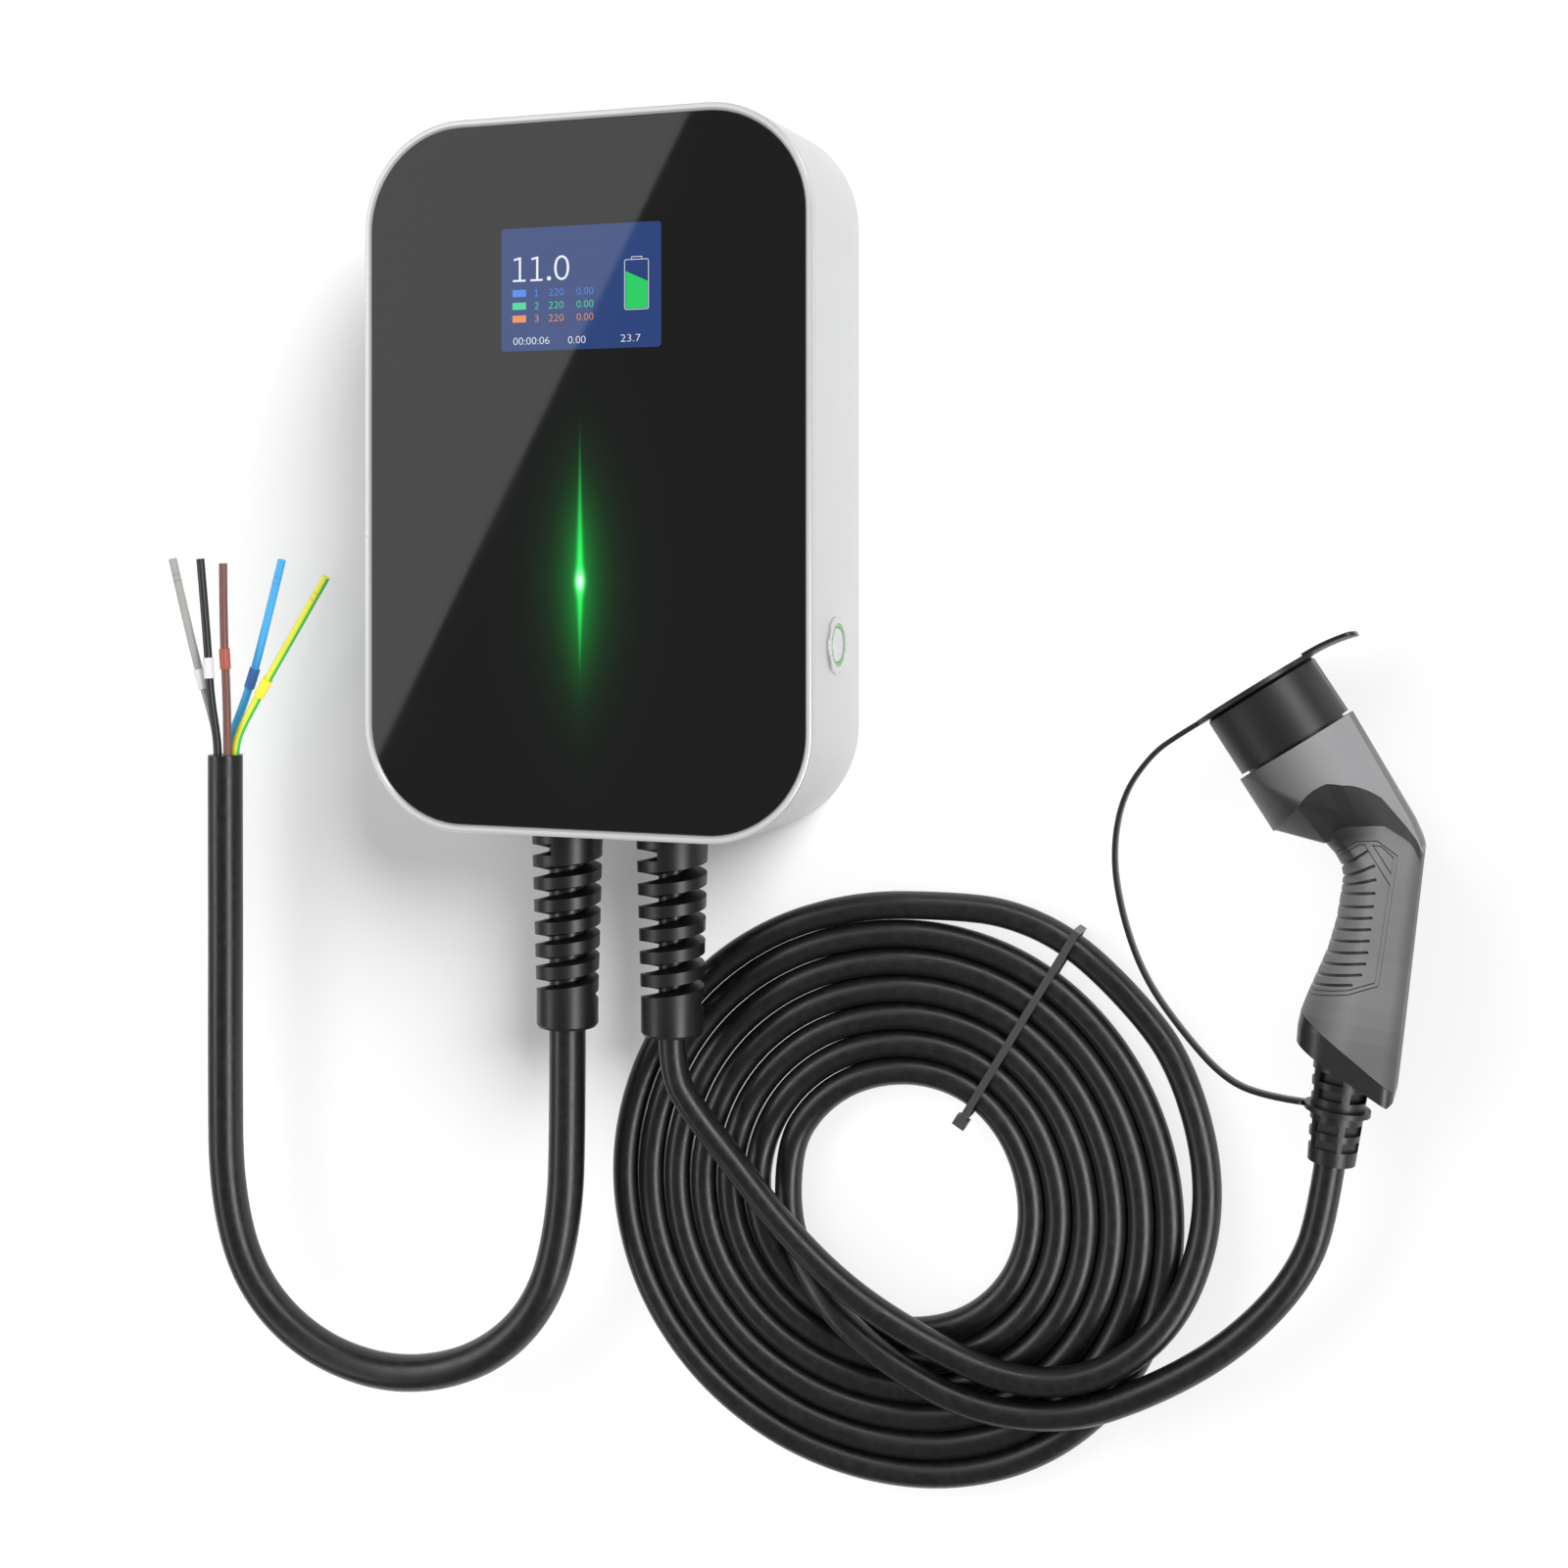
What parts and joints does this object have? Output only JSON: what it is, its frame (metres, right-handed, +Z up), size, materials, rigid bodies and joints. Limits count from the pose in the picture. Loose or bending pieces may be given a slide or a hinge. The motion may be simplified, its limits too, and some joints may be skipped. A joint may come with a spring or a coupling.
{
  "type": "electric vehicle wall charger",
  "caption": "Rounded wall charger with a glossy front, display, side button, spiral strain reliefs, a coiled charging cable with a capped vehicle connector and a cut mains cable.",
  "frame": {"origin": "centre of the wall plate on the wall surface, which is also the centre of the housing seen from the front", "axes": "+X to the right seen from the front, +Y into the wall, +Z up; the front faces -Y"},
  "size_m": [0.6524, 0.074, 0.6737],
  "materials": {
    "black_cable": "matt sheath",
    "black_plastic": "fine grain",
    "black_rubber": "matt",
    "black_wire": "soft gloss",
    "blue_wire": "soft gloss",
    "brass": "plain",
    "brown_wire": "soft gloss",
    "cap_rubber": "soft matt",
    "circuit_board": "solder resist",
    "connector_shell": "fine grain",
    "display": "gloss",
    "earth_wire": "yellow with a green stripe",
    "gloss_panel": "high gloss black",
    "grey_plastic": "fine grain",
    "grey_wire": "soft gloss",
    "lens": "translucent",
    "light_ring": "translucent",
    "marker": "matt",
    "silver_rim": "smooth satin silver white",
    "steel": "brushed",
    "white_shell": "smooth satin white",
    "zinc_steel": "zinc plated"
  },
  "bodies": {
    "charger": {"black_conductor": "black_wire", "black_marker": "marker", "blue_conductor": "blue_wire", "blue_marker": "marker", "board_screws": "zinc_steel", "board_standoffs": "grey_plastic", "brown_conductor": "brown_wire", "brown_marker": "marker", "button_bezel": "steel", "button_light_ring": "light_ring", "button_nut": "steel", "button_spring": "steel", "button_switch": "black_plastic", "cable_tie": "black_plastic", "cap_strap": "cap_rubber", "connector_boot": "black_rubber", "connector_far_shell": "connector_shell", "connector_near_shell": "connector_shell", "connector_nose": "black_plastic", "connector_spine": "black_plastic", "contact_block": "black_plastic", "contact_sleeves": "brass", "contactor": "grey_plastic", "control_board": "circuit_board", "display_module": "display", "earth_conductor": "earth_wire", "earth_marker": "marker", "front_bezel": "silver_rim", "front_panel": "gloss_panel", "grey_conductor": "grey_wire", "grey_marker": "marker", "housing_screws": "zinc_steel", "housing_seal": "black_rubber", "input_cable": "black_cable", "input_cable_end": "black_cable", "input_gland_nut": "black_plastic", "input_gland_seal": "black_rubber", "input_strain_relief": "black_plastic", "input_terminal_block": "grey_plastic", "leakage_sensor": "black_plastic", "led_board": "circuit_board", "light_guide": "lens", "output_cable_end": "black_cable", "output_coil": "black_cable", "output_gland_nut": "black_plastic", "output_gland_seal": "black_rubber", "output_lead": "black_cable", "output_strain_relief": "black_plastic", "output_tail": "black_cable", "output_terminal_block": "grey_plastic", "panel_gasket": "black_rubber", "power_supply": "zinc_steel", "rear_shell": "white_shell", "strap_ring": "cap_rubber", "tail_collar": "connector_shell", "wall_plate": "zinc_steel"},
    "button": {"button_cap": "steel"},
    "cap": {"dust_cap": "cap_rubber"}
  },
  "joints": [
    {"name": "button_press", "type": "slide", "parent": "charger", "child": "button", "axis": [-1, 0, 0], "range_m": [0, 0.0025], "stiffness_N_per_m": 400, "springref_m": -0.002, "deforming": ["button_spring"]},
    {"name": "cap_pull", "type": "slide", "parent": "charger", "child": "cap", "axis": [-0.5446, 0, 0.8387], "range_m": [0, 0.04]}
  ]
}
